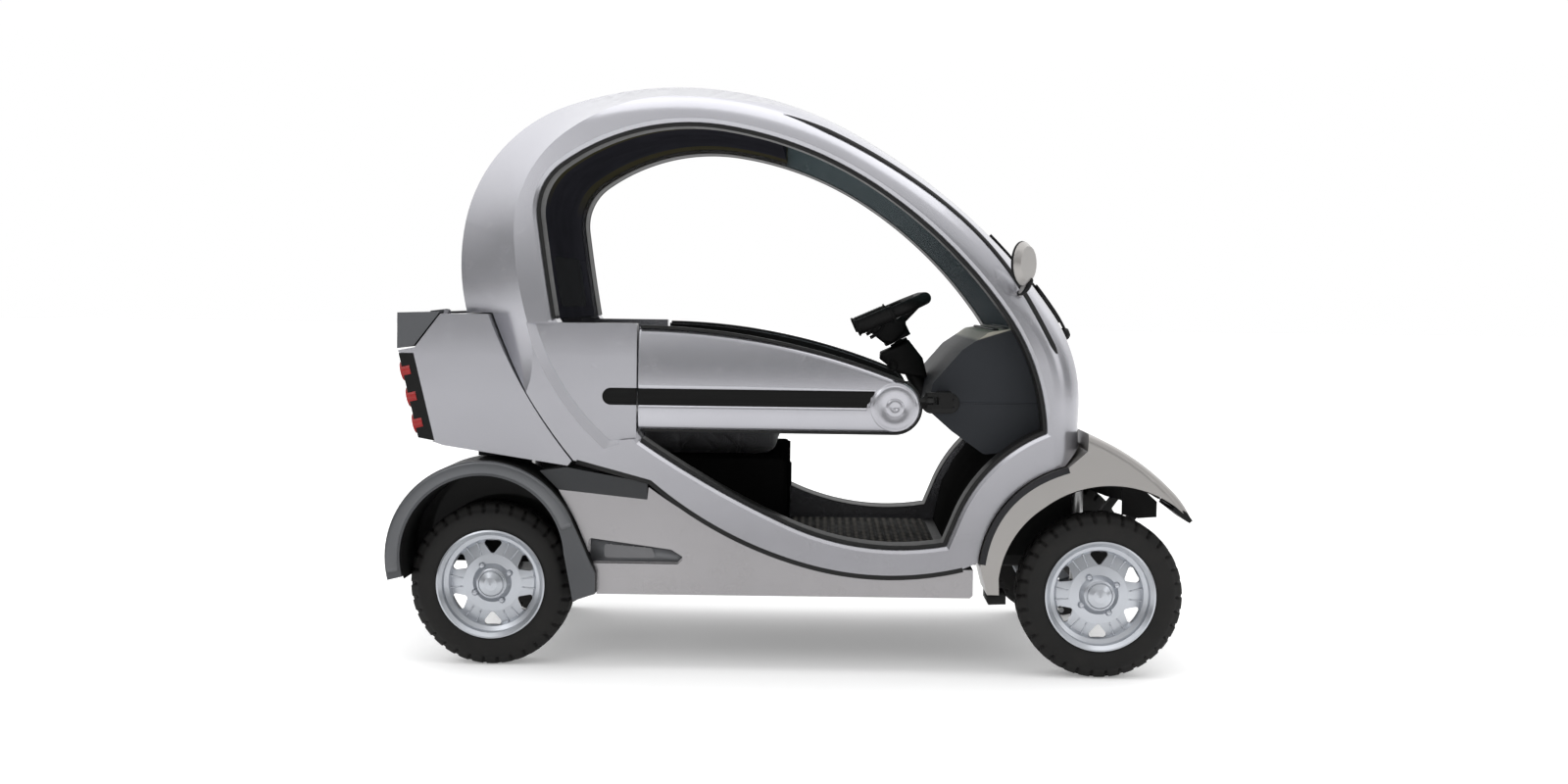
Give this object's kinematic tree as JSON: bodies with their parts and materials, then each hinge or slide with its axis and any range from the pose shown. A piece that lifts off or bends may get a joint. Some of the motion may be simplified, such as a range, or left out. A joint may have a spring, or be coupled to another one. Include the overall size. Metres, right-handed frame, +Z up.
{
  "type": "small electric car",
  "caption": "Low-speed cabin electric car with open sides, half-height doors, handlebar steering, a single seat bench and a rear boot.",
  "frame": {"origin": "middle of the footprint on the ground", "axes": "+X forwards, +Y to the driver's left, +Z up; wheels turn about Y"},
  "size_m": [2.43, 1.3736, 1.8026],
  "materials": {
    "silver_body": "satin metallic lacquer",
    "dark_body": "dark grey lacquer",
    "grey_fender": "satin lacquered moulding",
    "black_plastic": "fine grain",
    "grey_plastic": "fine grain",
    "beige_plastic": "fine grain",
    "lining": "soft grain",
    "mirror_shell": "lacquered back with a dark rim",
    "clear_glass": "clear, faint green",
    "lamp_glass": "clear lens",
    "red_lens": "clear red",
    "amber_lens": "clear amber",
    "stripe": "dark satin insert",
    "seat_cloth": "woven cloth",
    "mat_rubber": "patterned mat",
    "tyre_rubber": "moulded rubber",
    "rim_paint": "silver wheel lacquer",
    "frame_steel": "black chassis paint",
    "bare_steel": "machined",
    "drive_aluminium": "cast"
  },
  "bodies": {
    "car": {"battery_box": "grey_plastic", "belt_panels": "silver_body", "belt_strips": "stripe", "bonnet": "grey_fender", "chassis": "frame_steel", "dashboard": "grey_plastic", "door_hinges": "black_plastic", "drive_unit": "drive_aluminium", "floor_mat": "mat_rubber", "floor_pan": "frame_steel", "front_axle": "frame_steel", "front_bulkhead": "black_plastic", "front_bumper": "black_plastic", "front_fenders": "grey_fender", "headlamps": "lamp_glass", "headliner": "lining", "leg_shield": "grey_plastic", "mirrors": "mirror_shell", "nose_panel": "silver_body", "quarter_strips": "dark_body", "rear_axle": "frame_steel", "rear_body": "silver_body", "rear_fenders": "dark_body", "rear_shelf": "grey_plastic", "rear_window": "clear_glass", "roof_panel": "silver_body", "seat_back": "seat_cloth", "seat_base": "grey_plastic", "seat_cushion": "seat_cloth", "shock_absorbers": "bare_steel", "side_lamps": "amber_lens", "side_rings": "silver_body", "sills": "silver_body", "steering_column": "black_plastic", "steering_rack": "drive_aluminium", "tail_lamps": "black_plastic", "tail_lenses": "red_lens", "windscreen": "clear_glass"},
    "handlebar": {"handlebar": "black_plastic"},
    "knuckle_right": {"knuckle_right": "bare_steel"},
    "knuckle_left": {"knuckle_left": "bare_steel"},
    "track_rod": {"track_rod": "bare_steel"},
    "boot_lid": {"boot_lid": "dark_body"},
    "wheel_front_right": {"tyre_front_right": "tyre_rubber", "rim_front_right": "rim_paint"},
    "wheel_front_left": {"tyre_front_left": "tyre_rubber", "rim_front_left": "rim_paint"},
    "wheel_rear_right": {"tyre_rear_right": "tyre_rubber", "rim_rear_right": "rim_paint"},
    "wheel_rear_left": {"tyre_rear_left": "tyre_rubber", "rim_rear_left": "rim_paint"},
    "door_right": {"door_right": "silver_body", "door_capping_right": "black_plastic", "door_strip_right": "stripe"},
    "door_left": {"door_left": "silver_body", "door_capping_left": "black_plastic", "door_strip_left": "stripe"}
  },
  "joints": [
    {"name": "steering", "type": "hinge", "parent": "car", "child": "handlebar", "pos_m": [0.415, 0, 0.878], "axis": [-0.46, 0, 0.8879], "range_deg": [-35, 35]},
    {"name": "kingpin_right", "type": "hinge", "parent": "car", "child": "knuckle_right", "pos_m": [0.948, -0.45, 0.25], "axis": [0, 0, 1], "range_deg": [-29, 29]},
    {"name": "kingpin_left", "type": "hinge", "parent": "car", "child": "knuckle_left", "pos_m": [0.948, 0.45, 0.25], "axis": [0, 0, 1], "range_deg": [-29, 29]},
    {"name": "track_rod", "type": "slide", "parent": "car", "child": "track_rod", "axis": [0, 1, 0], "range_m": [-0.05, 0.05]},
    {"name": "wheel_front_right", "type": "hinge", "parent": "knuckle_right", "child": "wheel_front_right", "pos_m": [0.948, -0.51, 0.25], "axis": [0, 1, 0], "continuous": true},
    {"name": "wheel_front_left", "type": "hinge", "parent": "knuckle_left", "child": "wheel_front_left", "pos_m": [0.948, 0.51, 0.25], "axis": [0, 1, 0], "continuous": true},
    {"name": "wheel_rear_right", "type": "hinge", "parent": "car", "child": "wheel_rear_right", "pos_m": [-0.908, -0.46, 0.25], "axis": [0, 1, 0], "continuous": true},
    {"name": "wheel_rear_left", "type": "hinge", "parent": "car", "child": "wheel_rear_left", "pos_m": [-0.908, 0.46, 0.25], "axis": [0, 1, 0], "continuous": true},
    {"name": "door_right", "type": "hinge", "parent": "car", "child": "door_right", "pos_m": [0.428, -0.545, 0.834], "axis": [0, 0, 1], "range_deg": [0, 70]},
    {"name": "door_left", "type": "hinge", "parent": "car", "child": "door_left", "pos_m": [0.428, 0.545, 0.834], "axis": [0, 0, -1], "range_deg": [0, 70]},
    {"name": "boot_lid", "type": "hinge", "parent": "car", "child": "boot_lid", "pos_m": [-1.047, 0, 1.086], "axis": [0, 1, 0], "range_deg": [0, 80]}
  ],
  "couplings": [
    {"joint": "kingpin_right", "follows": "steering", "ratio": 0.8},
    {"joint": "kingpin_left", "follows": "steering", "ratio": 0.8},
    {"joint": "track_rod", "follows": "steering", "m_per_rad": -0.08}
  ]
}
